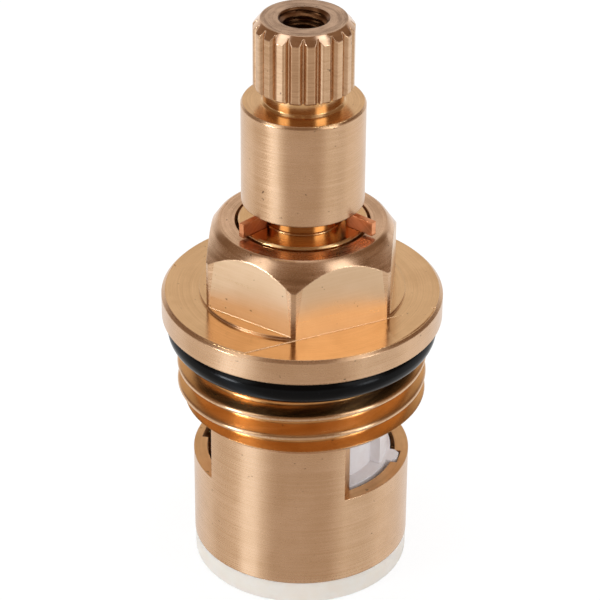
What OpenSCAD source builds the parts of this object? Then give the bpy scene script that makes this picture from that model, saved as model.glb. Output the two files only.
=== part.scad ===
// Ceramic disc tap cartridge: the quarter-turn valve insert of a basin or kitchen tap.
// Millimetres, +Z up the spindle, origin on the axis at the underside of the seal.
// The outlet windows lie on the X axis, and the valve is drawn closed.

/* [Thread and flange] */
// Major diameter of the pipe thread that screws into the tap
thread_d = 20.955; // [20.4:0.005:21.6]
// Length of the threaded part
thread_len = 5; // [4.5:0.05:8]
// Width of the lead-in chamfer at the foot of the thread
thread_lead_in = 0.8; // [0.5:0.1:1]
// Diameter of the flange that stops on the tap
flange_d = 23.38; // [22.6:0.02:26]
// Thickness of the flange
flange_t = 2.35; // [1.6:0.05:4]
// Break on the outer edges of turned parts
edge_break = 0.15; // [0.05:0.05:0.3]

/* [Hexagon] */
// Width across the flats
hex_af = 15; // [14.4:0.1:15.6]
// Diameter that the bar is turned to before the flats are milled
hex_blank_d = 17.1; // [16.8:0.1:17.8]
// Height of the hexagon over the flange
hex_h = 6.45; // [5:0.05:10]
// Height of the round step that the milling leaves on the flange
hex_step_h = 0.24; // [0.1:0.02:0.6]
// Depth that the last two flats are milled into the flange
hex_mill_h = 0.06; // [0.02:0.02:0.2]
// Diameter of the flat crown on top
hex_crown_d = 14.1; // [13.2:0.1:14.3]
// Height of the turned cone below the crown
hex_cone_h = 2.2; // [1:0.05:2.6]
// Angle between a corner of the hexagon and the window axis
hex_turn = 41; // [0:1:60]

/* [Sleeve] */
// Outer diameter of the sleeve
sleeve_d = 18.4; // [18:0.1:18.8]
// Wall of the sleeve
sleeve_wall = 1.15; // [1:0.05:1.4]
// Distance from the axis to the flat side cut that opens each window
window_flat = 5.8; // [5.2:0.1:6.6]
// Rise of the window's head over the moving disc
window_rise = 1.05; // [0.6:0.05:1.5]
// Plain land between the window's head and the thread
window_land = 0.3; // [0.2:0.05:1.5]

/* [Body seal ring] */
// Section of the O-ring under the flange
ring_section = 2.36; // [2:0.02:2.6]
// Diameter at the root of its groove
ring_root_d = 17.74; // [17:0.02:18.2]
// Spare width of the groove
ring_slack = 0.49; // [0.05:0.01:0.8]

/* [Spindle] */
// Bore of the body that the spindle turns in
bore_d = 10.76; // [10.5:0.02:11.4]
// Radial clearance of the spindle in its bore
running_fit = 0.07; // [0.04:0.01:0.1]
// Width of the lead-in at the mouth of that bore
bore_mouth_w = 0.2; // [0.1:0.02:0.4]
// Depth of that lead-in
bore_mouth_h = 0.8; // [0.3:0.1:1.5]
// Height of the spindle's shank over the body's crown
shank_proud = 0.22; // [0.1:0.01:0.4]
// Diameter of the barrel over the hexagon
barrel_d = 10.08; // [9.2:0.02:10.3]
// Length of the barrel
barrel_len = 8.92; // [6:0.02:14]
// Diameter of the relief under the spline
relief_d = 6.5; // [6:0.1:7]
// Length of the relief under the spline
relief_len = 1.4; // [1:0.05:3]
// Width of the bevel left at the foot of the relief
relief_foot = 0.2; // [0.05:0.05:0.4]

/* [Spline] */
// Outer diameter of the splined head
spline_d = 8.14; // [7.8:0.01:8.6]
// Length of the splined head
spline_len = 5.75; // [4:0.05:10]
// Number of teeth
spline_teeth = 20; // [16:1:24]
// Depth of the grooves between the teeth
spline_depth = 0.42; // [0.25:0.01:0.45]
// Width of a groove at its floor
spline_floor_w = 0.12; // [0.08:0.02:0.3]
// Flare of a groove's two rounded sides from its floor to its mouth
spline_flare_w = 0.66; // [0.4:0.02:0.7]
// Width of the chamfer on the end of the spline
spline_chamfer_w = 0.6; // [0.2:0.02:0.8]
// Height of the chamfer on the end of the spline
spline_chamfer_h = 0.7; // [0.4:0.05:1.2]
// Tapping drill of the handle screw's hole
screw_hole_d = 3.3; // [2.5:0.05:3.6]
// Width of the countersink at the mouth of that hole
screw_mouth_w = 0.1; // [0.06:0.02:0.4]
// Angle of that hole's drill point
drill_point = 118; // [90:1:140]
// Full depth of that hole
screw_hole_depth = 11; // [8:0.5:14]

/* [Retaining clip] */
// Diameter of the neck that the clip snaps onto
clip_neck_d = 6.3; // [5.6:0.1:6.6]
// Free height between the body's crown and the barrel
clip_room = 1.93; // [1.6:0.01:2.6]
// Height of the spring strip
clip_h = 1.2; // [0.8:0.05:1.4]
// Thickness of the spring strip
clip_t = 0.5; // [0.3:0.05:0.6]
// Radial slack of the clip on its neck
clip_slack = 0.35; // [0.1:0.01:0.4]
// Angle that the clip leaves open round the neck
clip_gap = 134; // [100:1:150]
// Angle that each end of the clip is bent outwards
clip_bend_angle = 70; // [60:5:90]
// Mid-line radius of those bends
clip_bend_r = 0.4; // [0.35:0.05:0.6]
// Straight length of each turned-out end
clip_end_l = 2.45; // [1.5:0.05:2.7]

/* [Spindle seal rings] */
// Section of the two O-rings on the spindle
stem_ring_section = 1.3; // [1:0.05:1.4]
// Height of the lower ring over the body's shoulder
stem_ring_rise = 3.6; // [2.5:0.1:4.5]
// Distance between the two rings
stem_ring_pitch = 4.2; // [3:0.1:5]
// Spare height of each groove over and under its ring
stem_ring_slack = 0.2; // [0.1:0.05:0.4]

/* [Discs and drive] */
// Thickness of each ceramic disc
disc_t = 4; // [3:0.1:5]
// Diameter of the moving disc
moving_disc_d = 14.7; // [13.8:0.1:15]
// Angle that each solid wing of the moving disc spans
wing_angle = 100; // [94:1:104]
// Angle from the middle of a wing to the step in its rim
wing_step_turn = 9; // [0:1:30]
// Height of that step
wing_step_h = 0.9; // [0.3:0.05:1.2]
// Angle that each port of the fixed disc spans
port_angle = 70; // [50:1:74]
// Radius of the solid middle of both discs
disc_hub_r = 1.6; // [1.2:0.1:2]
// Radial room of the fixed disc in the sleeve
disc_room = 0.4; // [0.1:0.05:0.5]
// Width of the fixed disc's key
key_w = 1.7; // [1.2:0.1:2.4]
// Height of the fixed disc's key out of its rim
key_h = 0.8; // [0.6:0.05:0.9]
// Angle from the window axis to the keyways
key_turn = 3; // [-10:1:10]
// Width of the spindle's drive tongue
tongue_w = 3; // [2.4:0.1:3.4]
// Depth of the drive tongue in the moving disc
tongue_h = 1.6; // [1:0.1:2]
// Thickness of the spindle's drive flange
drive_t = 3; // [2.6:0.1:3.4]
// Diameter of the drive flange between its stop lugs
drive_d = 13; // [12.4:0.1:13.2]
// Thickness of the slip washer over the drive flange
washer_t = 0.6; // [0.4:0.05:0.8]
// Width of the slip washer round the shank
washer_w = 1.09; // [0.8:0.01:1.2]
// Angle that the spindle turns from closed to open
turn_angle = 90; // [80:1:96]
// Angle that each stop rib of the body spans
stop_rib_angle = 30; // [20:1:36]

/* [Seal] */
// Outer diameter of the seal's face
seal_d = 18.3; // [17.6:0.02:18.4]
// Height of the seal's face below the sleeve
seal_proud = 2.05; // [1.2:0.05:3]
// Depth of the seal inside the sleeve
seal_depth = 4.2; // [3:0.1:6]
// Radius of the seal face's outer edge
seal_round = 0.25; // [0.1:0.05:1]
// Bore of the water inlet
inlet_d = 9.8; // [9:0.1:10.4]
// Wall of the stiff ring inside the seal
support_wall = 0.7; // [0.5:0.05:0.9]
// Thickness of the lip that holds that ring
seal_lip = 1.2; // [0.8:0.1:1.6]

/* [Hidden] */
$fn = 96;

// Clearances
slide = 0.1;
seat = 0.02;
over = 1;
stop_play = 0.4;
stop_shelf = 0.15;

// Levels from the seal's face up
sleeve_z = seal_proud;
fixed_z = sleeve_z + seal_depth;
lap_z = fixed_z + disc_t;
moving_top_z = lap_z + disc_t;
drive_z = moving_top_z + slide;
drive_top_z = drive_z + drive_t;
shoulder_z = drive_top_z + washer_t + slide;
sill_z = lap_z - slide;
head_z = moving_top_z + window_rise;
thread_z = head_z + window_land;
groove_z = thread_z + thread_len;
groove_w = ring_section + ring_slack;
flange_z = groove_z + groove_w;
flange_top_z = flange_z + flange_t;
crown_z = flange_top_z + hex_h;
shank_z = crown_z + shank_proud;
barrel_z = crown_z + clip_room;
relief_z = barrel_z + barrel_len;
spline_z = relief_z + relief_len;
spline_top_z = spline_z + spline_len;

// Radii that pieces share
chamber_r = sleeve_d / 2 - sleeve_wall;
bore_r = bore_d / 2;
shank_r = bore_r - running_fit;
spline_r = spline_d / 2;
spline_root_r = spline_r - spline_depth;
drive_r = drive_d / 2;
washer_r = shank_r + slide + washer_w;
stop_rib_r = max(drive_r, washer_r) + slide;
stop_lug_r = chamber_r - stop_shelf;
fixed_disc_r = chamber_r - disc_room;
key_r = fixed_disc_r + key_h;
inlet_r = inlet_d / 2;
support_r = inlet_r + support_wall;
stem_root_r = bore_r - 2 * seat - stem_ring_section - seat;

// Stops: the lugs fill what the ribs and the travel leave of each half turn
stop_lug_angle = 180 - turn_angle - stop_rib_angle;
stop_rib_turn = -(stop_lug_angle + stop_rib_angle) / 2;
stop_z = head_z + stop_shelf;

// Turns about the axis that are set by hand at assembly
spline_turn = -3;
clip_turn = -71.6;
clip_lean = 60;

brass = [0.78, 0.62, 0.42];
copper = [0.82, 0.48, 0.32];
rubber = [0.07, 0.07, 0.075];
ceramic = [0.86, 0.84, 0.82];
silicone = [0.90, 0.89, 0.87];
acetal = [0.93, 0.92, 0.88];

// A ring of rectangular section
module ring(r_in, r_out, z, h) {
    translate([0, 0, z])
    rotate_extrude()
    translate([r_in, 0])
    square([r_out - r_in, h]);
}

// Part of such a ring, spanning an angle about a middle direction
module sector(r_in, r_out, z, h, angle, middle) {
    translate([0, 0, z])
    rotate([0, 0, middle - angle / 2])
    rotate_extrude(angle = angle)
    translate([r_in, 0])
    square([r_out - r_in, h]);
}

// An O-ring that lies on a root radius, with the underside of its section at z
module o_ring(root_r, section, z) {
    translate([0, 0, z + section / 2])
    rotate_extrude()
    translate([root_r + seat + section / 2, 0])
    circle(d = section, $fn = 48);
}

// Turned outside of the body, from the sleeve's foot to the step under the hexagon
module body_blank() {
    foot_r = sleeve_d / 2;
    thread_r = thread_d / 2;
    flange_r = flange_d / 2;
    step_r = hex_blank_d / 2;
    rotate_extrude()
    polygon([
        [0, sleeve_z],
        [foot_r - edge_break / 3, sleeve_z],
        [foot_r, sleeve_z + edge_break / 3],
        [foot_r, thread_z],
        [thread_r - thread_lead_in, thread_z],
        [thread_r, thread_z + thread_lead_in],
        [thread_r, groove_z - edge_break],
        [thread_r - edge_break, groove_z],
        [ring_root_d / 2, groove_z],
        [ring_root_d / 2, flange_z],
        [flange_r - edge_break, flange_z],
        [flange_r, flange_z + edge_break],
        [flange_r, flange_top_z - 2 * edge_break],
        [flange_r - 2 * edge_break, flange_top_z],
        [step_r, flange_top_z],
        [step_r, flange_top_z + hex_step_h],
        [0, flange_top_z + hex_step_h]
    ]);
}

// Hexagon with its corners turned round and a cone to the flat crown
module body_hexagon() {
    crown_r = hex_crown_d / 2;
    corner_r = hex_blank_d / 2;
    intersection() {
        translate([0, 0, flange_top_z])
        rotate([0, 0, hex_turn])
        cylinder(r = hex_af / 2 / cos(30), h = hex_h, $fn = 6);
        rotate_extrude()
        polygon([
            [0, flange_top_z],
            [corner_r, flange_top_z],
            [corner_r, crown_z - hex_cone_h],
            [crown_r + edge_break / 2, crown_z - edge_break],
            [crown_r - edge_break, crown_z],
            [0, crown_z]
        ]);
    }
}

// What the last pass of the mill takes off the step and the flange beside two opposite flats
module mill_cuts() {
    for (side = [90, 270])
        rotate([0, 0, hex_turn + side])
        translate([hex_af / 2, -flange_d / 2, flange_top_z - hex_mill_h])
        cube([flange_d, flange_d, hex_mill_h + hex_step_h + over]);
}

// Spindle bore with the lead-in at its mouth, and the disc chamber below the shoulder
module body_bore() {
    rotate_extrude()
    polygon([
        [0, sleeve_z - over],
        [chamber_r, sleeve_z - over],
        [chamber_r, shoulder_z],
        [bore_r, shoulder_z],
        [bore_r, crown_z - bore_mouth_h],
        [bore_r + bore_mouth_w, crown_z],
        [bore_r + bore_mouth_w, crown_z + over],
        [0, crown_z + over]
    ]);
}

// Flat side cuts that open the two windows
module window_cuts() {
    for (side = [0, 180])
        rotate([0, 0, side])
        translate([window_flat, -sleeve_d / 2, sill_z])
        cube([sleeve_d, sleeve_d, head_z - sill_z]);
}

// Ways in the sleeve for the fixed disc's key, which fits either of them
module keyways() {
    for (side = [0, 180])
        rotate([0, 0, key_turn + side])
        translate([chamber_r - over, -key_w / 2 - slide / 2, sleeve_z - over])
        cube([over + key_r + slide - chamber_r, key_w + slide, sill_z - sleeve_z + 2 * over]);
}

module stop_ribs() {
    for (side = [0, 180])
        sector(stop_rib_r, chamber_r + slide, stop_z, shoulder_z - stop_z + slide,
            stop_rib_angle, stop_rib_turn + side);
}

module valve_body() {
    color(brass)
    union() {
        difference() {
            union() {
                body_blank();
                body_hexagon();
            }
            mill_cuts();
            body_bore();
            window_cuts();
            keyways();
        }
        stop_ribs();
    }
}

// Outline of the spindle from the drive flange to its splined end
module spindle_turning() {
    barrel_r = barrel_d / 2;
    rotate_extrude()
    polygon([
        [0, drive_z],
        [drive_r, drive_z],
        [drive_r, drive_top_z],
        [shank_r, drive_top_z],
        [shank_r, shank_z - edge_break],
        [shank_r - edge_break, shank_z],
        [clip_neck_d / 2, shank_z],
        [clip_neck_d / 2, barrel_z],
        [barrel_r - edge_break / 2, barrel_z],
        [barrel_r, barrel_z + edge_break / 2],
        [barrel_r, relief_z - 3 * edge_break / 2],
        [barrel_r - edge_break, relief_z],
        [relief_d / 2 + relief_foot, relief_z],
        [relief_d / 2, relief_z + relief_foot],
        [relief_d / 2, spline_z],
        [spline_r - edge_break, spline_z],
        [spline_r, spline_z + edge_break],
        [spline_r, spline_top_z - spline_chamfer_h],
        [spline_r - spline_chamfer_w, spline_top_z],
        [0, spline_top_z]
    ]);
}

// A point on one side of a groove, at a share of the way from its floor to its mouth
function groove_point(share, hand) =
    [spline_depth * share, hand * (spline_floor_w + spline_flare_w * share * share) / 2];

// One groove of the spline, with sides that curve outwards and leave the teeth rounded
module spline_groove() {
    shares = [0, 0.3, 0.5, 0.7, 0.85, 1, 1.15, 1.3];
    translate([spline_root_r, 0, spline_z - over / 2])
    linear_extrude(spline_len + over)
    polygon(concat(
        [for (share = shares) groove_point(share, -1)],
        reversed([for (share = shares) groove_point(share, 1)])
    ));
}

// Tapped hole for the handle screw, with a drill point and a countersunk mouth
module screw_hole() {
    hole_r = screw_hole_d / 2;
    point_h = hole_r / tan(drill_point / 2);
    floor_z = spline_top_z - screw_hole_depth;
    rotate_extrude()
    polygon([
        [0, floor_z],
        [hole_r, floor_z + point_h],
        [hole_r, spline_top_z - screw_mouth_w],
        [hole_r + screw_mouth_w, spline_top_z],
        [hole_r + screw_mouth_w, spline_top_z + over],
        [0, spline_top_z + over]
    ]);
}

// Groove for one of the spindle's O-rings
module stem_groove(z) {
    ring(stem_root_r, shank_r + over / 2, z - stem_ring_slack, stem_ring_section + 2 * stem_ring_slack);
}

module spindle() {
    color(brass)
    union() {
        difference() {
            spindle_turning();
            for (tooth = [0 : spline_teeth - 1])
                rotate([0, 0, spline_turn + tooth * 360 / spline_teeth])
                spline_groove();
            screw_hole();
            stem_groove(shoulder_z + stem_ring_rise);
            stem_groove(shoulder_z + stem_ring_rise + stem_ring_pitch);
        }
        for (side = [0, 180])
            sector(drive_r - over, stop_lug_r, stop_z + slide, drive_top_z - stop_z - slide,
                stop_lug_angle - 2 * stop_play, side);
        intersection() {
            translate([-drive_r, -tongue_w / 2, drive_z - tongue_h])
            cube([2 * drive_r, tongue_w, tongue_h + over]);
            ring(0, drive_r - slide, drive_z - tongue_h, tongue_h + over);
        }
    }
}

// Mid line of the clip's strip: an arc round the neck, ending where each bend to a turned-out end begins
clip_arc_r = clip_neck_d / 2 + clip_slack + clip_t / 2;
clip_arc_end = clip_gap / 2;
clip_bend_at = [(clip_arc_r + clip_bend_r) * cos(clip_arc_end), (clip_arc_r + clip_bend_r) * sin(clip_arc_end)];

// A point of one end of the strip: turned by an angle round its bend, then out along the end
function clip_point(side, turn, out, hand) =
    let (
        along = [cos(clip_arc_end), sin(clip_arc_end)],
        across = [-sin(clip_arc_end), cos(clip_arc_end)],
        r = clip_bend_r + side * clip_t / 2,
        outward = sin(clip_bend_angle) * along - cos(clip_bend_angle) * across,
        p = clip_bend_at - r * cos(turn) * along - r * sin(turn) * across + out * outward
    )
    [p.x, hand * p.y];

// One face of the strip round a bend, with the tip of the end
function clip_end(side, hand) =
    concat(
        [for (step = [0 : 6]) clip_point(side, clip_bend_angle * step / 6, 0, hand)],
        [clip_point(side, clip_bend_angle, clip_end_l, hand)]
    );

// One face of the strip round the neck
function clip_arc(side) =
    let (r = clip_arc_r - side * clip_t / 2, steps = 30, sweep = 360 - clip_gap)
    [for (i = [1 : steps - 1]) r * [cos(clip_arc_end + i * sweep / steps), sin(clip_arc_end + i * sweep / steps)]];

function reversed(list) = [for (i = [len(list) - 1 : -1 : 0]) list[i]];

module retaining_clip() {
    lean = clip_slack - seat;
    color(copper)
    translate([lean * cos(clip_lean), lean * sin(clip_lean), shank_z + seat])
    rotate([0, 0, clip_turn])
    linear_extrude(clip_h)
    polygon(concat(
        clip_arc(1),
        clip_end(1, -1),
        reversed(clip_end(-1, -1)),
        reversed(clip_arc(-1)),
        clip_end(-1, 1),
        reversed(clip_end(1, 1))
    ));
}

module body_o_ring() {
    color(rubber)
    o_ring(ring_root_d / 2, ring_section, flange_z - ring_section - seat);
}

module spindle_o_ring_lower() {
    color(rubber)
    o_ring(stem_root_r, stem_ring_section, shoulder_z + stem_ring_rise);
}

module spindle_o_ring_upper() {
    color(rubber)
    o_ring(stem_root_r, stem_ring_section, shoulder_z + stem_ring_rise + stem_ring_pitch);
}

module slip_washer() {
    color(acetal)
    ring(washer_r - washer_w, washer_r, drive_top_z, washer_t);
}

// Moving disc: two solid wings on a hub, each stepped back on one side, and a slot for the tongue
module moving_disc() {
    disc_r = moving_disc_d / 2;
    color(ceramic)
    difference() {
        union() {
            ring(0, disc_hub_r + tongue_w / 4, lap_z, disc_t);
            for (side = [0, 180])
                sector(0, disc_r, lap_z, disc_t, wing_angle, side);
        }
        for (side = [0, 180])
            sector(disc_r - wing_step_h, disc_r + over, lap_z - over, disc_t + 2 * over,
                wing_angle, side - wing_step_turn - wing_angle / 2);
        translate([-drive_r, -tongue_w / 2 - slide / 2, moving_top_z - tongue_h])
        cube([2 * drive_r, tongue_w + slide, tongue_h + over]);
    }
}

// Fixed disc: a port under each wing, and a key with broken corners towards one window
module fixed_disc() {
    color(ceramic)
    difference() {
        union() {
            rotate([0, 0, key_turn + 90])
            ring(0, fixed_disc_r, fixed_z, disc_t);
            translate([0, 0, fixed_z])
            rotate([0, 0, key_turn])
            linear_extrude(disc_t)
            polygon([
                [fixed_disc_r - over, -key_w / 2],
                [key_r - key_w / 4, -key_w / 2],
                [key_r, -key_w / 4],
                [key_r, key_w / 4],
                [key_r - key_w / 4, key_w / 2],
                [fixed_disc_r - over, key_w / 2]
            ]);
        }
        for (side = [0, 180])
            sector(disc_hub_r, inlet_r, fixed_z - over, disc_t + 2 * over, port_angle, side);
    }
}

// Soft seal: a face that meets the tap's seat, and a plug that grips the sleeve
module bottom_seal() {
    face_r = seal_d / 2;
    plug_r = chamber_r - slide;
    color(silicone)
    rotate_extrude()
    polygon(concat(
        [[inlet_r, 0]],
        [for (a = [-90 : 15 : 0]) [face_r - seal_round * (1 - cos(a)), seal_round * (1 + sin(a))]],
        [
            [face_r, sleeve_z - seat],
            [plug_r, sleeve_z - seat],
            [plug_r, fixed_z],
            [support_r + seat, fixed_z],
            [support_r + seat, seal_lip],
            [inlet_r, seal_lip]
        ]
    ));
}

module seal_support_ring() {
    color(acetal)
    ring(inlet_r, support_r, seal_lip, fixed_z - seal_lip - seat);
}

valve_body();
spindle();
retaining_clip();
body_o_ring();
spindle_o_ring_lower();
spindle_o_ring_upper();
slip_washer();
moving_disc();
fixed_disc();
bottom_seal();
seal_support_ring();
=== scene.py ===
"""Looks of a ceramic disc tap cartridge.

Lengths are millimetres times MM, in the part's own frame: +Z up the spindle, +X through one window.
The stage is placed in metres. Angles are degrees.
"""
import math

import bpy
from mathutils import Matrix, Vector


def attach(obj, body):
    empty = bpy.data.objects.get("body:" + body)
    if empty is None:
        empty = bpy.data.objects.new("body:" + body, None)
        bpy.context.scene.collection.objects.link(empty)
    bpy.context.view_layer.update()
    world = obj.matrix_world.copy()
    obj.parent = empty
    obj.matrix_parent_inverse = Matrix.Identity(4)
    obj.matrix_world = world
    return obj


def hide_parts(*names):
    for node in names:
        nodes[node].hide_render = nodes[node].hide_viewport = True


MM = 0.001

# Camera, read from the ellipses of the photograph's rims
CAMERA_AZIMUTH = 15.7
CAMERA_DISTANCE = 189.63 * MM
CAMERA_HEIGHT = 137.33 * MM
CAMERA_PITCH = 30.75
CAMERA_ROLL = 0.41
CAMERA_LENS = 159.05
CAMERA_SENSOR = 36
CAMERA_SHIFT = -0.0035
CAMERA_CLIP = 10 * MM

# Half the floor's width, the level that the lamps point at, and the bluish white of the two at the sides
FLOOR_HALF = 1.5
LAMP_AIM_Z = 25 * MM
COOL_WHITE = (0.86, 0.93, 1.0)

# Cards of light for the gloss: their meshes, the fade at the top and bottom of those on the dome, and how
# far out those on the floor start, how high they lie and the distances at which they have points
CARD_COLUMNS = 48
CARD_ROWS = 24
CARD_FADE = 14
CARD_NEAR_R = 9.3 * MM
CARD_LIFT = 0.2 * MM
CARD_REACHES = [reach * MM for reach in (0, *(2 ** i for i in range(10)), 900)]

# Pipe thread of the body: 55 degree form with round crests and roots, turned down to its root at the top.
# Then the radius where the paler crests begin above the painted shade of the grooves, and the cutter's
# outside and mesh.
PIPE_PITCH = 1.814 * MM
PIPE_MAJOR_R = 10.4775 * MM
PIPE_MINOR_R = 9.3165 * MM
PIPE_ROUND = 0.249 * MM
PIPE_FLANK = 27.5
PIPE_CREST_Z = 19.774 * MM
PIPE_LOW_Z = 15.3 * MM
PIPE_HIGH_Z = 21.1 * MM
PIPE_END_Z = 20.7 * MM
PIPE_END_SLOPE = 1.6
PIPE_GROOVE_SHADE_R = PIPE_MINOR_R + 0.9 * MM
PIPE_OUTSIDE_R = 12.5 * MM
PIPE_ROWS = 116
PIPE_COLUMNS = 288

# Screw thread in the end of the spindle, with a countersunk mouth. Then the radius within which faces belong
# to its hole, whose brass is darkened as painted shade, and the cutter's mesh.
SCREW_PITCH = 0.7 * MM
SCREW_MAJOR_R = 2.0 * MM
SCREW_MINOR_R = 1.6 * MM
SCREW_ROUND = 0.05 * MM
SCREW_FLANK = 30
SCREW_MOUTH_R = 2.08 * MM
SCREW_CREST_Z = 0.0
SCREW_LOW_Z = 41.75 * MM
SCREW_HIGH_Z = 50.65 * MM
SCREW_HOLE_R = 2.1 * MM
SCREW_ROWS = 130
SCREW_COLUMNS = 72

# Levels and radii that part the finishes
SILL_Z = 10.15 * MM
WINDOW_HEAD_Z = 15.3 * MM
FLANGE_TOP_Z = 25.8 * MM
FLANGE_TOP_R = 11.39 * MM
HEX_FLAT_R = 7.5 * MM
HEX_REACH_R = 8.4 * MM
HEX_TURN = 41
CROWN_Z = 32.25 * MM
SHANK_Z = 32.47 * MM
NECK_R = 3.15 * MM
BARREL_Z = 34.18 * MM
BARREL_TOP_Z = 43.1 * MM
SPLINE_Z = 44.45 * MM
SPLINE_TOP_Z = 50.25 * MM
CHAMBER_R = 8.07 * MM
BORE_R = 5.62 * MM

# How near to a level or radius the middle of a face may lie, loosely and closely
NEAR = 0.1 * MM
CLOSE = 0.01 * MM

# Limits on how far a face's normal points away from the axis, and on how far it points up
INWARD = -0.3
OUTWARD = 0.97
UPRIGHT = 0.05
SLANTED = 0.5
LEVEL = 0.8
END_LEVEL = 0.9

# Radius to which handling has worn the brass edges, and the fillet at the foot of the clip's neck
EDGE_WEAR = 0.12 * MM
NECK_FOOT = 0.15 * MM

# A milled pass beside the hexagon: its depth, and the piece where it runs out, which ends a little proud of
# the flange's top, stays inside the flange's edge and is sunk into the flange and the hexagon
MILL_DEPTH = 0.06 * MM
RUNOUT_YS = [y * MM for y in (3.4, 4.6, 5.8, 6.6, 7.4, 8.2)]
RUNOUT_CLIMB = 2.4 * MM
RUNOUT_PROUD = 0.003 * MM
RUNOUT_INSET = 0.02 * MM
RUNOUT_SINK = 0.2 * MM
RUNOUT_BITE = 0.16 * MM

# Burrs along turned edges: name, radius, level, the angles between which they run, and size
SPINDLE_BURRS = [
    ("barrel_burr", 4.93 * MM, 43.08 * MM, 6, 44, 0.1 * MM),
    ("barrel_burr_left", 4.94 * MM, 43.03 * MM, -62, -8, 0.012 * MM),
]
BODY_BURRS = [
    ("flange_burr", 11.48 * MM, 25.74 * MM, -44, -18, 0.06 * MM),
    ("flange_burr_right", 11.48 * MM, 25.74 * MM, 12, 60, 0.04 * MM),
    ("thread_burr", 9.66 * MM, 15.63 * MM, -75, 70, 0.05 * MM),
    ("crown_burr", 7.02 * MM, 32.2 * MM, -20, -4, 0.05 * MM),
]

# Form of a burr: sides, steps to a degree, its least share of the size, two waves that make it ragged,
# their shift from burr to burr, and how it tapers to its tips
BURR_SIDES = 6
BURR_STEPS = 2
BURR_LEAST = 0.35
BURR_FAST = 1.7
BURR_SLOW = 0.61
BURR_SHIFT = 40
BURR_TAPER = 0.3
BURR_TIP = 0.002 * MM

# Meshes: the gap that is welded, the columns of a turned ring, the weight of large faces in the normals,
# and the angles up to which cut copies, rings and burrs are shaded smooth
WELD_GAP = 0.0005 * MM
RING_COLUMNS = 96
FACE_WEIGHT = 100
SMOOTH_CUT = 25
SMOOTH_RING = 30
SMOOTH_BURR = 80

# Sockets of the colour mix, which shares their names with other kinds of mix
MIX_A = 6
MIX_B = 7
MIX_RESULT = 2

# Ranges: where most values of a noise lie, where the tones of brass change over, and from none to all
MOST_NOISE = (0.3, 0.7)
TONE_NOISE = (0.36, 0.64)
WHOLE = (0.0, 1.0)

PIT_COLOUR = (0.10, 0.055, 0.03)

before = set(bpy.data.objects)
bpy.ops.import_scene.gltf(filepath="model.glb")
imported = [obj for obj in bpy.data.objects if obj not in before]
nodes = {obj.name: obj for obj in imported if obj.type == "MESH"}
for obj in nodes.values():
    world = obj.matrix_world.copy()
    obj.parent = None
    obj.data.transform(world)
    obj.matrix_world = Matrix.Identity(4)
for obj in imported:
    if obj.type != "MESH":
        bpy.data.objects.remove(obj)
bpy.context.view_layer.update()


# Node trees

class Graph:
    """A node tree with short calls for the few nodes that the materials share."""

    def __init__(self, tree):
        self.tree = tree
        tree.nodes.clear()

    def node(self, kind, sockets=None, **settings):
        made = self.tree.nodes.new("ShaderNode" + kind)
        for name, value in settings.items():
            setattr(made, name, value)
        for name, value in (sockets or {}).items():
            self.put(made.inputs[name], value)
        return made

    def put(self, socket, value):
        if isinstance(value, bpy.types.NodeSocket):
            self.tree.links.new(value, socket)
        else:
            socket.default_value = value

    def math(self, operation, a, b):
        return self.node("Math", {0: a, 1: b}, operation=operation).outputs[0]

    def blend(self, a, a_share, b, b_share):
        return self.math("ADD", self.math("MULTIPLY", a, a_share), self.math("MULTIPLY", b, b_share))

    def span(self, value, source, target):
        """A value's place in the source range, smoothed, as a place in the target range."""
        sockets = {
            "Value": value,
            "From Min": source[0],
            "From Max": source[1],
            "To Min": target[0],
            "To Max": target[1],
        }
        return self.node("MapRange", sockets, interpolation_type="SMOOTHSTEP").outputs[0]

    def mix(self, share, a, b):
        made = self.node("Mix", {"Factor": share, MIX_A: a, MIX_B: b}, data_type="RGBA")
        return made.outputs[MIX_RESULT]

    def noise(self, vector, scale, detail, roughness):
        sockets = {"Vector": vector, "Scale": scale, "Detail": detail, "Roughness": roughness}
        return self.node("TexNoise", sockets).outputs["Fac"]

    def bump(self, height, distance, wear=None):
        """Bumps, over a normal that turns softly at the edges where these are worn."""
        sockets = {"Height": height, "Distance": distance}
        if wear:
            sockets["Normal"] = self.node("Bevel", {"Radius": wear}).outputs["Normal"]
        return self.node("Bump", sockets).outputs["Normal"]

    def place(self):
        """The piece's own coordinates, in millimetres."""
        coordinates = self.node("TexCoord").outputs["Object"]
        return self.node("VectorMath", {0: coordinates, 3: 1 / MM}, operation="SCALE").outputs[0]

    def radius(self):
        """Distance from the axis, in millimetres."""
        flat = self.node("VectorMath", {0: self.place(), 1: (1, 1, 0)}, operation="MULTIPLY").outputs[0]
        return self.node("VectorMath", {0: flat}, operation="LENGTH").outputs["Value"]

    def lathe(self, round_share, along, facing):
        """Coordinates for rings of noise: slow round the axis and fast along the turned outline."""
        part = self.node("SeparateXYZ", {0: self.place()})
        x, y, z = part.outputs
        r = self.radius()
        safe_r = self.math("MAXIMUM", r, 0.01)
        outline = self.math("ADD", z, self.math("MULTIPLY", r, facing))
        return self.node("CombineXYZ", {
            0: self.math("MULTIPLY", self.math("DIVIDE", x, safe_r), round_share),
            1: self.math("MULTIPLY", self.math("DIVIDE", y, safe_r), round_share),
            2: self.math("MULTIPLY", outline, along),
        }).outputs[0]

    def surface(self, shader):
        self.tree.links.new(shader, self.node("OutputMaterial").inputs["Surface"])

    def principled(self, sockets):
        self.surface(self.node("BsdfPrincipled", sockets).outputs[0])


def new_graph(name):
    material = bpy.data.materials.new(name)
    material.use_nodes = True
    return material, Graph(material.node_tree)


# Materials

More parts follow.
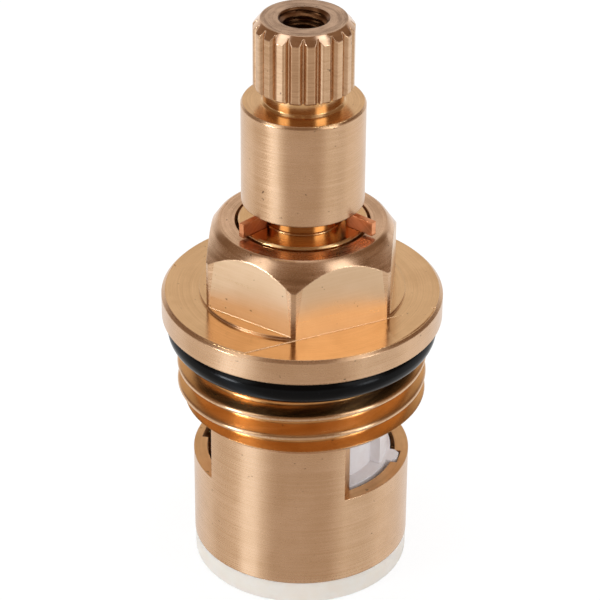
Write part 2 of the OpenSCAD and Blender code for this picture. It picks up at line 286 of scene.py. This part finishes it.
def brass(name, pale, deep, roughness, marks,
          grain=9.0, sweep=0.6, facing=0.73, crest=None, wear=EDGE_WEAR):
    """Turned brass: rings of tool marks, worn and dull patches, and gloss that stretches across the marks.

    Its tones are pale and deep, and crest is the paler tone of a thread's crests; where it is given, the
    pale and deep tones below the crests are painted shade and painted reflection in the grooves. The tool
    marks are as deep as marks says and as fine as grain says, and facing is their share of that on level
    faces. Sweep stretches the gloss, and wear is the radius of the worn edges.
    """
    material, g = new_graph(name)
    turns = g.lathe(round_share=0.9, along=grain, facing=facing)
    rings = g.noise(turns, scale=1.0, detail=3.0, roughness=0.6)
    patches = g.noise(g.place(), scale=0.35, detail=3.0, roughness=0.6)
    specks = g.noise(g.place(), scale=9.0, detail=2.0, roughness=0.7)
    tone = g.blend(rings, 0.55, patches, 0.45)
    colour = g.mix(g.span(tone, TONE_NOISE, WHOLE), (*deep, 1), (*pale, 1))
    # A thread's flanks and roots keep the deeper tones as painted shade and reflection; only its crests take
    # the crest tone
    if crest:
        height = g.span(g.radius(), (PIPE_GROOVE_SHADE_R / MM, PIPE_MAJOR_R / MM), WHOLE)
        colour = g.mix(height, colour, (*crest, 1))
    pits = g.noise(g.place(), scale=2.3, detail=2.0, roughness=0.55)
    dull = g.blend(specks, 0.4, rings, 0.6)
    g.principled({
        "Base Color": g.mix(g.span(pits, (0.71, 0.77), (0.0, 0.75)), colour, (*PIT_COLOUR, 1)),
        "Metallic": 1.0,
        "Roughness": g.span(dull, MOST_NOISE, (roughness * 0.8, roughness * 1.25)),
        "Anisotropic": sweep,
        "Anisotropic Rotation": 0.25,
        "Tangent": g.node("Tangent", direction_type="RADIAL", axis="Z").outputs[0],
        "Normal": g.bump(rings, marks, wear),
    })
    return material


def rubber(name, clean, dusty):
    material, g = new_graph(name)
    bloom = g.noise(g.place(), scale=0.9, detail=3.0, roughness=0.6)
    dust = g.noise(g.place(), scale=7.0, detail=2.0, roughness=0.6)
    g.principled({
        "Base Color": g.mix(g.span(dust, (0.66, 0.78), (0.0, 0.6)), (*clean, 1), (*dusty, 1)),
        "Roughness": g.span(bloom, MOST_NOISE, (0.13, 0.22)),
        "Specular IOR Level": 0.1,
        "Normal": g.bump(dust, 0.004 * MM),
    })
    return material


def ceramic(name, low, high):
    material, g = new_graph(name)
    cloud = g.noise(g.place(), scale=0.6, detail=3.0, roughness=0.55)
    grain = g.noise(g.place(), scale=14.0, detail=2.0, roughness=0.6)
    g.principled({
        "Base Color": g.mix(g.span(cloud, MOST_NOISE, WHOLE), (*low, 1), (*high, 1)),
        "Roughness": g.span(grain, MOST_NOISE, (0.3, 0.45)),
        "Normal": g.bump(grain, 0.006 * MM),
    })
    return material


def plastic(name, low, high):
    material, g = new_graph(name)
    cloud = g.noise(g.place(), scale=0.8, detail=2.0, roughness=0.5)
    grain = g.noise(g.place(), scale=10.0, detail=2.0, roughness=0.6)
    g.principled({
        "Base Color": g.mix(g.span(cloud, MOST_NOISE, WHOLE), (*low, 1), (*high, 1)),
        "Roughness": g.span(grain, MOST_NOISE, (0.35, 0.5)),
        "Normal": g.bump(grain, 0.005 * MM),
    })
    return material


def silicone(name, low, high):
    material, g = new_graph(name)
    cloud = g.noise(g.place(), scale=0.5, detail=3.0, roughness=0.6)
    grain = g.noise(g.place(), scale=6.0, detail=2.0, roughness=0.6)
    g.principled({
        "Base Color": g.mix(g.span(cloud, MOST_NOISE, WHOLE), (*low, 1), (*high, 1)),
        "Roughness": g.span(grain, MOST_NOISE, (0.3, 0.45)),
        "Transmission Weight": 0.4,
        "IOR": 1.41,
        "Subsurface Weight": 0.6,
        "Subsurface Radius": (1.0, 0.9, 0.8),
        "Subsurface Scale": 1.2 * MM,
        "Normal": g.bump(grain, 0.006 * MM),
    })
    return material


turned = brass("turned_brass", pale=(0.66, 0.43, 0.265), deep=(0.58, 0.365, 0.21),
               roughness=0.27, marks=0.003 * MM)
splined = brass("splined_brass", pale=(0.66, 0.43, 0.26), deep=(0.54, 0.33, 0.185),
                roughness=0.2, marks=0.002 * MM, grain=6.0, sweep=0.2)
faced_look = dict(pale=(0.80, 0.525, 0.28), deep=(0.69, 0.438, 0.222),
                  roughness=0.19, marks=0.0012 * MM, grain=12.0, sweep=0.3)
faced = brass("faced_brass", **faced_look)
faced_flush = brass("faced_flush_brass", **faced_look, wear=None)
milled = brass("milled_brass", pale=(0.76, 0.54, 0.35), deep=(0.71, 0.49, 0.30),
               roughness=0.33, marks=0.0003 * MM, grain=7.0, sweep=0.0, facing=0.0)
# Deeper orange brass for the pipe thread, paler at its crests: painted shade and painted reflection in the
# grooves
groove_shaded_brass = brass("threaded_brass_groove_shade", pale=(0.72, 0.40, 0.165), deep=(0.60, 0.31, 0.11),
                 roughness=0.22, marks=0.0012 * MM, sweep=0.8, crest=(0.64, 0.41, 0.24))
necked = brass("necked_brass", pale=(0.78, 0.50, 0.25), deep=(0.70, 0.43, 0.20),
               roughness=0.17, marks=0.001 * MM)
crowned = brass("crowned_brass", pale=(0.78, 0.52, 0.34), deep=(0.53, 0.335, 0.20),
                roughness=0.25, marks=0.005 * MM, grain=5.0, sweep=0.4)
# Paler brass for the spline's chamfers: a painted highlight
highlit_bevel_brass = brass("bevelled_brass_painted_highlight", pale=(0.86, 0.60, 0.42), deep=(0.62, 0.41, 0.27),
                 roughness=0.12, marks=0.002 * MM, grain=6.0, sweep=0.0)
sawn = brass("sawn_brass", pale=(0.74, 0.45, 0.22), deep=(0.60, 0.34, 0.15),
             roughness=0.36, marks=0.003 * MM, grain=5.0, sweep=0.1)
worn = brass("worn_brass", pale=(0.66, 0.46, 0.32), deep=(0.30, 0.185, 0.115),
             roughness=0.28, marks=0.006 * MM, grain=4.0, sweep=0.1)
bored = brass("bored_brass", pale=(0.72, 0.45, 0.24), deep=(0.60, 0.35, 0.16),
              roughness=0.36, marks=0.002 * MM)
# Brass of the spindle's tapped hole, far darker than the rest: painted shade in the hole
shaded_hole_brass = brass("tapped_brass_painted_shade", pale=(0.24, 0.115, 0.052), deep=(0.13, 0.06, 0.027),
               roughness=0.3, marks=0.003 * MM)
copper = brass("copper_strip", pale=(0.84, 0.38, 0.19), deep=(0.70, 0.28, 0.12),
               roughness=0.34, marks=0.002 * MM, grain=5.0, sweep=0.0)
black_rubber = rubber("black_rubber", clean=(0.002, 0.002, 0.0022), dusty=(0.012, 0.012, 0.013))
white_ceramic = ceramic("white_ceramic", low=(0.82, 0.77, 0.77), high=(0.89, 0.86, 0.87))
white_acetal = plastic("white_acetal", low=(0.80, 0.79, 0.75), high=(0.88, 0.87, 0.83))
clear_silicone = silicone("clear_silicone", low=(0.97, 0.84, 0.73), high=(0.99, 0.90, 0.82))


# Meshes

def circle(r, z, columns):
    """Points round the axis, from +X towards +Y."""
    turns = [2 * math.pi * j / columns for j in range(columns)]
    return [(r * math.cos(a), r * math.sin(a), z) for a in turns]


def new_object(name, data):
    made = bpy.data.objects.new(name, data)
    bpy.context.scene.collection.objects.link(made)
    return made


def grid_object(name, rings, material, closed):
    """A skin through rings of points, closed from the last ring to the first, or capped at both ends."""
    count = len(rings[0])
    points = [p for ring in rings for p in ring]
    faces = []
    for i in range(len(rings) if closed else len(rings) - 1):
        low, high = i * count, (i + 1) % len(rings) * count
        for j in range(count):
            k = (j + 1) % count
            faces.append((low + j, low + k, high + k, high + j))
    if not closed:
        faces.append(tuple(reversed(range(count))))
        faces.append(tuple(range((len(rings) - 1) * count, len(rings) * count)))
    mesh = bpy.data.meshes.new(name)
    mesh.from_pydata(points, [], faces)
    mesh.materials.append(material)
    return new_object(name, mesh)


def bake(made):
    """Puts the result of an object's modifiers in place of its mesh."""
    bpy.context.view_layer.update()
    evaluated = made.evaluated_get(bpy.context.evaluated_depsgraph_get())
    result = bpy.data.meshes.new_from_object(evaluated)
    before = made.data
    made.modifiers.clear()
    made.data = result
    bpy.data.meshes.remove(before)


def cut_copy(node, cutter, name):
    """A copy of a CAD node with a cutter taken off it, which then goes."""
    made = new_object(name, nodes[node].data.copy())
    weld = made.modifiers.new("weld", "WELD")
    weld.merge_threshold = WELD_GAP
    cut = made.modifiers.new("cut", "BOOLEAN")
    cut.object = cutter
    cut.operation = "DIFFERENCE"
    cut.solver = "EXACT"
    cut.material_mode = "TRANSFER"
    bake(made)
    cutter_mesh = cutter.data
    bpy.data.objects.remove(cutter)
    bpy.data.meshes.remove(cutter_mesh)
    return made


def smooth(made, angle):
    """Shades an object smooth up to an angle, with normals that follow its larger faces."""
    mesh = made.data
    if mesh.has_custom_normals:
        mesh.attributes.remove(mesh.attributes["custom_normal"])
    mesh.polygons.foreach_set("use_smooth", [True] * len(mesh.polygons))
    mesh.set_sharp_from_angle(angle=math.radians(angle))
    weighted = made.modifiers.new("weighted", "WEIGHTED_NORMAL")
    weighted.keep_sharp = True
    weighted.weight = FACE_WEIGHT
    bake(made)


def set_materials(mesh, choose, kept, materials):
    """Gives each face the material that its middle and normal call for, and leaves the cut faces theirs."""
    cut_slot = next((i for i, m in enumerate(mesh.materials) if m == kept), None)
    was_cut = [p.material_index == cut_slot for p in mesh.polygons]
    mesh.materials.clear()
    for material in materials:
        mesh.materials.append(material)
    for polygon, cut in zip(mesh.polygons, was_cut):
        wanted = kept if cut else choose(polygon.center, polygon.normal)
        polygon.material_index = materials.index(wanted)


# Threads

def thread_radius(offset, pitch, major, minor, rounding, flank):
    """Radius of a thread form at a distance along the axis from the middle of a crest."""
    t = abs((offset + pitch / 2) % pitch - pitch / 2)
    slope = 1 / math.tan(math.radians(flank))
    edge = rounding * math.cos(math.radians(flank))
    if t < edge:
        return major - rounding + math.sqrt(rounding ** 2 - t ** 2)
    if pitch / 2 - t < edge:
        return minor + rounding - math.sqrt(rounding ** 2 - (pitch / 2 - t) ** 2)
    middle = (major + minor) / 2
    return middle + (pitch / 4 - t) * slope


def thread_rings(low, high, rows, columns, crest_z, pitch, radius):
    """Rings of points on a right-hand thread, from its low end to its high end."""
    rings = []
    for i in range(rows + 1):
        z = low + (high - low) * i / rows
        ring = []
        for j in range(columns):
            angle = 2 * math.pi * j / columns
            r = radius(z - crest_z - pitch * angle / (2 * math.pi), z)
            ring.append((r * math.cos(angle), r * math.sin(angle), z))
        rings.append(ring)
    return rings


def pipe_radius(offset, z):
    """Radius of the pipe thread, which is turned down to its root towards the O-ring's groove."""
    r = thread_radius(offset, PIPE_PITCH, PIPE_MAJOR_R, PIPE_MINOR_R, PIPE_ROUND, PIPE_FLANK)
    return min(r, PIPE_MINOR_R + PIPE_END_SLOPE * max(0.0, PIPE_END_Z - z))


def screw_radius(offset, z):
    """Radius of the screw thread, which opens into a countersunk mouth at the spindle's end."""
    r = thread_radius(offset, SCREW_PITCH, SCREW_MAJOR_R, SCREW_MINOR_R, SCREW_ROUND, SCREW_FLANK)
    return max(r, SCREW_MOUTH_R + min(0.0, z - SPLINE_TOP_Z))


# Pieces

def body_finish(middle, normal):
    r = math.hypot(middle.x, middle.y)
    outward = (normal.x * middle.x + normal.y * middle.y) / max(r, CLOSE)
    in_window = SILL_Z - NEAR < middle.z < WINDOW_HEAD_Z + NEAR
    if outward < INWARD or (r < CHAMBER_R and middle.z < SILL_Z - NEAR):
        return bored
    if in_window and outward < OUTWARD:
        return sawn
    if r < CHAMBER_R and middle.z < FLANGE_TOP_Z - NEAR:
        return bored
    if abs(normal.z) < UPRIGHT and FLANGE_TOP_Z < middle.z < CROWN_Z and r < HEX_REACH_R:
        return milled
    if normal.z > LEVEL and middle.z > FLANGE_TOP_Z - NEAR and r > BORE_R - NEAR:
        return crowned if middle.z > CROWN_Z - NEAR else faced
    if normal.z > UPRIGHT and middle.z > FLANGE_TOP_Z + MILL_DEPTH:
        return crowned
    return turned


def make_body():
    inner = thread_rings(
        PIPE_LOW_Z, PIPE_HIGH_Z, PIPE_ROWS, PIPE_COLUMNS, PIPE_CREST_Z, PIPE_PITCH, pipe_radius)
    outer = [circle(PIPE_OUTSIDE_R, z, PIPE_COLUMNS) for z in (PIPE_LOW_Z, PIPE_HIGH_Z)]
    # The thread's cut faces keep the brass with painted shade in its grooves
    cutter = grid_object("pipe_thread_cutter", inner[::-1] + outer, groove_shaded_brass, closed=True)
    made = cut_copy("valve_body", cutter, "threaded_body")
    finishes = [turned, faced, milled, crowned, groove_shaded_brass, bored, sawn]
    set_materials(made.data, body_finish, groove_shaded_brass, finishes)
    smooth(made, SMOOTH_CUT)
    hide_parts("valve_body")
    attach(made, "housing")


def spindle_finish(middle, normal):
    r = math.hypot(middle.x, middle.y)
    # Faces in the tapped hole take the darkened brass: painted shade
    if r < SCREW_HOLE_R and normal.z < END_LEVEL and middle.z > BARREL_Z:
        return shaded_hole_brass
    if middle.z < BARREL_Z - NEAR:
        return necked
    if normal.z > LEVEL:
        return worn if middle.z > SPLINE_Z else faced
    # The spline's chamfers take the paler brass: painted highlight
    if normal.z > SLANTED and middle.z > SPLINE_Z:
        return highlit_bevel_brass
    if middle.z < BARREL_Z + CLOSE:
        return faced
    if middle.z < BARREL_TOP_Z:
        return turned
    return splined if middle.z > SPLINE_Z else necked


def make_spindle():
    rings = thread_rings(
        SCREW_LOW_Z, SCREW_HIGH_Z, SCREW_ROWS, SCREW_COLUMNS, SCREW_CREST_Z, SCREW_PITCH, screw_radius)
    # The thread's cut faces keep the darkened brass of the hole: painted shade
    cutter = grid_object("screw_thread_cutter", rings, shaded_hole_brass, closed=False)
    made = cut_copy("spindle", cutter, "tapped_spindle")
    finishes = [turned, splined, faced, highlit_bevel_brass, necked, worn, shaded_hole_brass]
    set_materials(made.data, spindle_finish, shaded_hole_brass, finishes)
    smooth(made, SMOOTH_CUT)
    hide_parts("spindle")
    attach(made, "spindle_group")


def mill_runout(name, turn):
    """The end of a milled pass, where its floor climbs to the flange's top beside the hexagon's corner."""
    c, s = math.cos(math.radians(turn)), math.sin(math.radians(turn))
    near = HEX_FLAT_R - RUNOUT_BITE
    low = FLANGE_TOP_Z - RUNOUT_SINK
    rows = []
    for y in RUNOUT_YS:
        far = math.sqrt((FLANGE_TOP_R - RUNOUT_INSET) ** 2 - y * y)
        climbed = min(1.0, (y - RUNOUT_YS[0]) / RUNOUT_CLIMB)
        top = FLANGE_TOP_Z - MILL_DEPTH + (MILL_DEPTH + RUNOUT_PROUD) * climbed
        corners = [(near, low), (far, low), (far, top), (near, top)]
        rows.append([(x * c - y * s, x * s + y * c, z) for x, z in corners])
    made = grid_object(name, rows, faced_flush, closed=False)
    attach(made, "housing")


def burr(name, r, z, start, stop, size, body, slot):
    """A ragged bead of metal along part of a turned edge. Angle 0 faces the camera."""
    steps = int((stop - start) * BURR_STEPS)
    rings = []
    for i in range(steps + 1):
        share = i / steps
        a = math.radians(start + (stop - start) * share + CAMERA_AZIMUTH - 90)
        waves = math.sin(BURR_FAST * i + BURR_SHIFT * r / MM) * math.sin(BURR_SLOW * i + z / MM)
        ragged = BURR_LEAST + (1 - BURR_LEAST) * abs(waves)
        thick = size * ragged * math.sin(math.pi * share) ** BURR_TAPER + BURR_TIP
        ring = []
        for j in range(BURR_SIDES):
            b = 2 * math.pi * j / BURR_SIDES
            out = r + thick * math.cos(b)
            ring.append((out * math.cos(a), out * math.sin(a), z + thick * math.sin(b)))
        rings.append(ring[::-1])
    made = grid_object(name, rings, faced_flush, closed=False)
    smooth(made, SMOOTH_BURR)
    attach(made, body)


def lathe_ring(name, outline, material, body):
    """A ring turned from a closed outline of radii and heights."""
    rings = [circle(r, z, RING_COLUMNS) for r, z in outline]
    made = grid_object(name, rings, material, closed=True)
    smooth(made, SMOOTH_RING)
    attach(made, body)


def make_neck_foot():
    """The fillet between the clip's neck and the shank under it."""
    foot_r = NECK_R + NECK_FOOT
    foot_z = SHANK_Z + NECK_FOOT
    outline = [(NECK_R, SHANK_Z), (foot_r, SHANK_Z), (NECK_R, foot_z)]
    lathe_ring("neck_foot", outline, faced, "spindle_group")


def dress(material, *names):
    """Gives a material to CAD nodes that are shown as they are."""
    for name in names:
        mesh = nodes[name].data
        mesh.materials.clear()
        mesh.materials.append(material)


make_body()
make_spindle()
mill_runout("mill_runout_front", HEX_TURN - 90)
mill_runout("mill_runout_back", HEX_TURN + 90)
for row in SPINDLE_BURRS:
    burr(*row, "spindle_group", "spindle_brass")
for row in BODY_BURRS:
    burr(*row, "housing", "body_brass")
make_neck_foot()
dress(copper, "retaining_clip")
dress(black_rubber, "body_o_ring", "spindle_o_ring_lower", "spindle_o_ring_upper")
dress(white_ceramic, "moving_disc", "fixed_disc")
dress(white_acetal, "slip_washer", "seal_support_ring")
dress(clear_silicone, "bottom_seal")


# Stage

def seen_share(g):
    """1 for rays that show the background: from the camera, or off or through something glossy."""
    path = g.node("LightPath").outputs
    either = g.math("MAXIMUM", path["Is Camera Ray"], path["Is Glossy Ray"])
    return g.math("MAXIMUM", either, path["Is Transmission Ray"])


def make_floor():
    half = FLOOR_HALF
    corners = [(-half, -half, 0), (half, -half, 0), (half, half, 0), (-half, half, 0)]
    mesh = bpy.data.meshes.new("floor")
    mesh.from_pydata(corners, [], [(0, 1, 2, 3)])
    floor = new_object("floor", mesh)
    material, g = new_graph("floor_white")
    lit = g.node("BsdfDiffuse", {"Color": (0.8, 0.8, 0.8, 1)}).outputs[0]
    shadow = g.node("BsdfDiffuse", {"Color": (0.25, 0.25, 0.25, 1)}).outputs[0]
    white = g.node("Emission", {"Color": (1, 1, 1, 1), "Strength": 0.8}).outputs[0]
    both = g.node("AddShader", {0: shadow, 1: white}).outputs[0]
    g.surface(g.node("MixShader", {0: seen_share(g), 1: lit, 2: both}).outputs[0])
    mesh.materials.append(material)


def make_world():
    world = bpy.data.worlds.new("studio")
    world.use_nodes = True
    g = Graph(world.node_tree)
    soft = g.node("Background", {"Color": (1, 1, 1, 1), "Strength": 0.9}).outputs[0]
    white = g.node("Background", {"Color": (1, 1, 1, 1), "Strength": 1.0}).outputs[0]
    shader = g.node("MixShader", {0: seen_share(g), 1: soft, 2: white}).outputs[0]
    g.tree.links.new(shader, g.node("OutputWorld").inputs["Surface"])
    bpy.context.scene.world = world


def round_object(azimuth, elevation, distance, height):
    """A place round the object. Azimuth 0 is the camera's side, and positive is to its right."""
    a, e = math.radians(azimuth + CAMERA_AZIMUTH), math.radians(elevation)
    flat = distance * math.cos(e)
    return Vector((flat * math.sin(a), -flat * math.cos(a), height + distance * math.sin(e)))


def make_lamp(name, azimuth, elevation, distance, width, tall, watts, colour=(1, 1, 1)):
    data = bpy.data.lights.new(name, "AREA")
    data.shape = "RECTANGLE"
    data.size, data.size_y = width, tall
    data.energy = watts
    data.color = colour
    lamp = new_object(name, data)
    aim = Vector((0, 0, LAMP_AIM_Z))
    lamp.location = round_object(azimuth, elevation, distance, aim.z)
    lamp.rotation_euler = (aim - lamp.location).to_track_quat("-Z", "Y").to_euler()


def fade_share(value, half, fade):
    """1 within the half width, falling smoothly to 0 over the fade."""
    t = min(1.0, max(0.0, (half + fade - abs(value)) / fade))
    return t * t * (3 - 2 * t)


def card_turns(half, fade):
    """The angles of a card's columns, from its left side to its right, about its middle."""
    return [(half + fade) * (2 * i / CARD_COLUMNS - 1) for i in range(CARD_COLUMNS + 1)]


def floor_card(name, middle, half, fade, colour):
    """A card on the floor that fades towards its sides and looks straight in an upright cylinder's gloss."""
    rows = []
    for far in CARD_REACHES:
        row = []
        for turn in card_turns(half, fade):
            a = math.radians(middle + turn)
            right = CARD_NEAR_R * math.sin(a / 2) + far * math.sin(a)
            front = CARD_NEAR_R * math.cos(a / 2) + far * math.cos(a)
            row.append((right, front, CARD_LIFT, fade_share(turn, half, fade)))
        rows.append(row)
    make_card(name, rows, colour)


def dome_card(name, far, middle, half, fade, low, high, colour):
    """A card of a dome round the object, which fades towards all its edges."""
    centre, reach = (low + high) / 2, (high - low) / 2
    rows = []
    for i in range(CARD_ROWS + 1):
        rise = low + (high - low) * i / CARD_ROWS
        e = math.radians(rise)
        flat = far * math.cos(e)
        row = []
        for turn in card_turns(half, fade):
            a = math.radians(middle + turn)
            share = fade_share(turn, half, fade) * fade_share(rise - centre, reach - CARD_FADE, CARD_FADE)
            row.append((flat * math.sin(a), flat * math.cos(a), far * math.sin(e), share))
        rows.append(row)
    make_card(name, rows, colour)


def make_card(name, rows, colour):
    """A sheet of light that only gloss sees.

    Its points are given by how far they lie to the right, to the front and up, from the camera's side, and
    by their share of the light.
    """
    c, s = math.cos(math.radians(CAMERA_AZIMUTH)), math.sin(math.radians(CAMERA_AZIMUTH))
    places = [place for row in rows for place in row]
    points = [(right * c + front * s, right * s - front * c, up) for right, front, up, share in places]
    count = len(rows[0])
    faces = []
    for low in range(0, (len(rows) - 1) * count, count):
        high = low + count
        for i in range(count - 1):
            faces.append((low + i, low + i + 1, high + i + 1, high + i))
    mesh = bpy.data.meshes.new(name)
    mesh.from_pydata(points, [], faces)
    shares = mesh.attributes.new("share", "FLOAT", "POINT")
    shares.data.foreach_set("value", [share for right, front, up, share in places])
    card = new_object(name, mesh)
    card.visible_camera = False
    card.visible_diffuse = False
    card.visible_shadow = False
    card.visible_transmission = False
    material, g = new_graph(name)
    clear = g.node("BsdfTransparent").outputs[0]
    light = g.node("Emission", {"Color": (*colour, 1), "Strength": 1.0}).outputs[0]
    share = g.node("Attribute", attribute_name="share").outputs["Fac"]
    g.surface(g.node("MixShader", {0: share, 1: clear, 2: light}).outputs[0])
    mesh.materials.append(material)


def make_camera():
    data = bpy.data.cameras.new("camera")
    data.lens = CAMERA_LENS
    data.sensor_width = CAMERA_SENSOR
    data.shift_x = CAMERA_SHIFT
    data.clip_start = CAMERA_CLIP
    camera = new_object("camera", data)
    a = math.radians(CAMERA_AZIMUTH)
    turn = Matrix.Rotation(a, 4, "Z") @ Matrix.Rotation(math.radians(90 - CAMERA_PITCH), 4, "X")
    roll = Matrix.Rotation(math.radians(CAMERA_ROLL), 4, "Z")
    place = (CAMERA_DISTANCE * math.sin(a), -CAMERA_DISTANCE * math.cos(a), CAMERA_HEIGHT)
    camera.matrix_world = Matrix.Translation(place) @ turn @ roll
    bpy.context.scene.camera = camera


make_floor()
make_world()
make_lamp("key", azimuth=-60, elevation=4, distance=0.5, width=0.12, tall=0.1, watts=0.8,
          colour=COOL_WHITE)
make_lamp("fill", azimuth=54, elevation=6, distance=0.6, width=0.14, tall=0.12, watts=0.45,
          colour=COOL_WHITE)
make_lamp("top", azimuth=0, elevation=87, distance=0.6, width=0.4, tall=0.4, watts=0.25)
floor_card("front_floor", middle=2, half=30, fade=20, colour=(0.66, 0.59, 0.54))
floor_card("left_strip", middle=-57, half=7, fade=6, colour=(1.4, 1.5, 1.65))
floor_card("left_floor", middle=-88, half=14, fade=8, colour=(0.86, 0.81, 0.76))
floor_card("right_floor", middle=62, half=16, fade=14, colour=(0.84, 0.82, 0.80))
dome_card("dim_room", far=0.95, middle=0, half=130, fade=20, low=0, high=88, colour=(0.25, 0.16, 0.10))
dome_card("left_box", far=0.7, middle=-58, half=11, fade=9, low=8, high=62, colour=(1.75, 1.75, 1.75))
dome_card("right_box", far=0.7, middle=52, half=11, fade=9, low=8, high=62, colour=(2.0, 2.0, 2.0))
dome_card("back_shade", far=0.85, middle=180, half=34, fade=20, low=0, high=70, colour=(0.78, 0.71, 0.65))
make_camera()
bpy.context.scene.view_settings.view_transform = "Standard"
